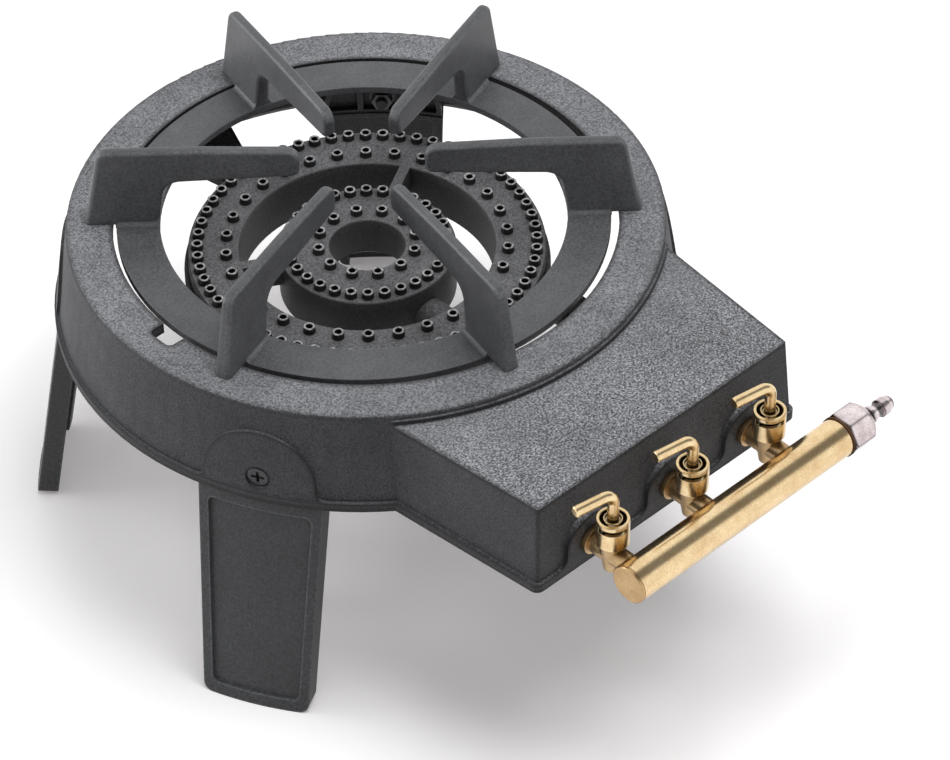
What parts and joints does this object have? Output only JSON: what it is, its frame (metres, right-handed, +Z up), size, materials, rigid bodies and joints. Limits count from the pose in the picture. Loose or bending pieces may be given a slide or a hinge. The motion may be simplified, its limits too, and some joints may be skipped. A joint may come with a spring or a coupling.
{
  "type": "gas burner",
  "caption": "Cast-iron gas burner on splayed legs, with a lift-off pan support, concentric rings of raised jets and brass lever taps on a front manifold.",
  "frame": {"origin": "on the floor, under the middle of the part's outline; the burner's axis is 67 mm behind it", "axes": "+Z up, -Y towards the taps and the manifold, +X towards the hose barb"},
  "size_m": [0.4484, 0.559, 0.295],
  "materials": {
    "grainy_iron": "sand-cast grey enamel with a fine speckle",
    "satin_iron": "satin dark grey",
    "burner_iron": "fine cast grey, jet rims worn bright",
    "brass": "satin brass",
    "plated": "bright plating",
    "steel": "steel, darkened by heat and oil",
    "fibre": "brown fibre sealing washer"
  },
  "bodies": {
    "stand": {"body": "grainy_iron", "leg_front_left": "satin_iron", "leg_front_right": "satin_iron", "leg_rear_left": "satin_iron", "leg_rear_right": "satin_iron", "leg_screws": "steel", "leg_washers": "steel", "leg_nuts": "steel", "burner_head": "burner_iron", "burner_bowl": "burner_iron", "head_screws": "steel", "burner_screw": "steel", "valve_body_left": "brass", "valve_body_middle": "brass", "valve_body_right": "brass", "gland_nut_left": "brass", "gland_nut_middle": "brass", "gland_nut_right": "brass", "spring_washer_left": "steel", "spring_washer_middle": "steel", "spring_washer_right": "steel", "lock_nut_left": "steel", "lock_nut_middle": "steel", "lock_nut_right": "steel", "injector_left": "brass", "injector_middle": "brass", "injector_right": "brass", "manifold_tube": "brass", "end_plug": "brass", "inlet_washer": "fibre", "inlet_nut": "plated", "hose_barb": "plated"},
    "pan_support": {"pan_support": "satin_iron"},
    "tap_left": {"tap_plug_left": "brass", "stop_pin_left": "steel", "lever_hub_left": "brass", "tap_lever_left": "brass"},
    "tap_middle": {"tap_plug_middle": "brass", "stop_pin_middle": "steel", "lever_hub_middle": "brass", "tap_lever_middle": "brass"},
    "tap_right": {"tap_plug_right": "brass", "stop_pin_right": "steel", "lever_hub_right": "brass", "tap_lever_right": "brass"}
  },
  "joints": [
    {"name": "pan_support_lift", "type": "slide", "parent": "stand", "child": "pan_support", "axis": [0, 0, 1], "range_m": [0, 0.1]},
    {"name": "tap_left_turn", "type": "hinge", "parent": "stand", "child": "tap_left", "pos_m": [-0.071, -0.23645, 0.1835], "axis": [0, 0, 1], "range_deg": [0, 90]},
    {"name": "tap_middle_turn", "type": "hinge", "parent": "stand", "child": "tap_middle", "pos_m": [0, -0.23645, 0.1835], "axis": [0, 0, 1], "range_deg": [0, 90]},
    {"name": "tap_right_turn", "type": "hinge", "parent": "stand", "child": "tap_right", "pos_m": [0.071, -0.23645, 0.1835], "axis": [0, 0, 1], "range_deg": [0, 90]}
  ]
}
